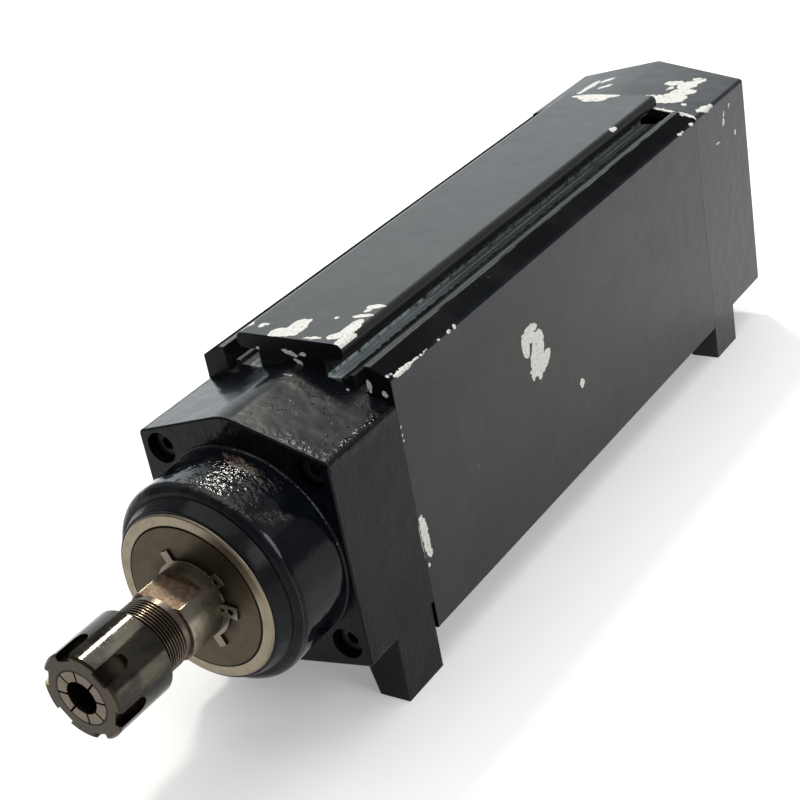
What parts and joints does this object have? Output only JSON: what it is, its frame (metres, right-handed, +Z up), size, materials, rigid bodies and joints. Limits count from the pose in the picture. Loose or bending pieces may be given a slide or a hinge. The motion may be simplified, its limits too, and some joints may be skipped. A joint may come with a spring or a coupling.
{
  "type": "spindle motor",
  "caption": "Foot-mounted electric spindle motor: extruded housing with a T-rail between two castings, round bearing nose, threaded spindle with collet and slotted clamping nut.",
  "frame": {"origin": "centre of the four tapped foot holes, on the plane of the feet", "axes": "+Y rearwards along the spindle axis, +Z up from the feet, +X to the right as seen by someone who faces the clamping nut"},
  "size_m": [0.1086, 0.5836, 0.1695],
  "materials": {
    "cast_paint": "thick gloss black paint over a rough casting",
    "housing_paint": "semi-gloss charcoal paint on an aluminium extrusion",
    "cap_paint": "semi-gloss charcoal paint on an aluminium casting",
    "machined_steel": "turned steel, slightly tarnished",
    "nut_steel": "burnished dark steel",
    "collet_steel": "ground spring steel, worn",
    "dark_screws": "blackened steel",
    "bearing_steel": "ground and hardened",
    "spacer_steel": "ground",
    "cage_brass": "machined",
    "core_steel": "stacked electrical sheet",
    "winding_resin": "resin over copper wire",
    "bare_aluminium": "turned or die cast, bare",
    "fan_plastic": "moulded",
    "gland_plastic": "moulded",
    "seal_rubber": "moulded"
  },
  "bodies": {
    "motor": {"front_flange": "cast_paint", "stator_housing": "housing_paint", "rear_cap": "cap_paint", "rear_shield": "bare_aluminium", "nose_ring": "machined_steel", "flange_screws": "dark_screws", "cap_screws": "dark_screws", "shield_screws": "dark_screws", "stator_core": "core_steel", "front_winding": "winding_resin", "rear_winding": "winding_resin", "front_bearing_outer_ring": "bearing_steel", "second_bearing_outer_ring": "bearing_steel", "rear_bearing_outer_ring": "bearing_steel", "outer_spacer": "spacer_steel", "wave_spring": "dark_screws", "gland_body": "gland_plastic", "gland_nut": "gland_plastic", "gland_seal": "seal_rubber"},
    "spindle": {"spindle_shaft": "machined_steel", "seal_disc": "machined_steel", "retaining_ring": "dark_screws", "front_bearing_inner_ring": "bearing_steel", "second_bearing_inner_ring": "bearing_steel", "rear_bearing_inner_ring": "bearing_steel", "inner_spacer": "spacer_steel", "rotor_core": "core_steel", "front_end_ring": "bare_aluminium", "rear_end_ring": "bare_aluminium", "cooling_fan": "fan_plastic", "fan_key": "spacer_steel", "fan_retaining_ring": "dark_screws"},
    "front_ball_set": {"front_bearing_balls": "bearing_steel", "front_bearing_cage": "cage_brass"},
    "second_ball_set": {"second_bearing_balls": "bearing_steel", "second_bearing_cage": "cage_brass"},
    "rear_ball_set": {"rear_bearing_balls": "bearing_steel", "rear_bearing_cage": "cage_brass"},
    "collet": {"collet": "collet_steel"},
    "nut": {"collet_nut": "nut_steel"}
  },
  "joints": [
    {"name": "spindle_spin", "type": "hinge", "parent": "motor", "child": "spindle", "pos_m": [0, 0, 0.09], "axis": [0, -1, 0], "continuous": true},
    {"name": "front_cage_orbit", "type": "hinge", "parent": "motor", "child": "front_ball_set", "pos_m": [0, 0, 0.09], "axis": [0, -1, 0], "continuous": true},
    {"name": "second_cage_orbit", "type": "hinge", "parent": "motor", "child": "second_ball_set", "pos_m": [0, 0, 0.09], "axis": [0, -1, 0], "continuous": true},
    {"name": "rear_cage_orbit", "type": "hinge", "parent": "motor", "child": "rear_ball_set", "pos_m": [0, 0, 0.09], "axis": [0, -1, 0], "continuous": true},
    {"name": "collet_slide", "type": "slide", "parent": "spindle", "child": "collet", "axis": [0, -1, 0], "range_m": [0, 0.00451]},
    {"name": "nut_turn", "type": "hinge", "parent": "collet", "child": "nut", "pos_m": [0, 0, 0.09], "axis": [0, -1, 0], "range_deg": [0, 1080]}
  ],
  "couplings": [
    {"joint": "front_cage_orbit", "follows": "spindle_spin", "ratio": 0.42037},
    {"joint": "second_cage_orbit", "follows": "spindle_spin", "ratio": 0.42037},
    {"joint": "rear_cage_orbit", "follows": "spindle_spin", "ratio": 0.39674},
    {"joint": "collet_slide", "follows": "nut_turn", "m_per_rad": 0.00023873}
  ]
}
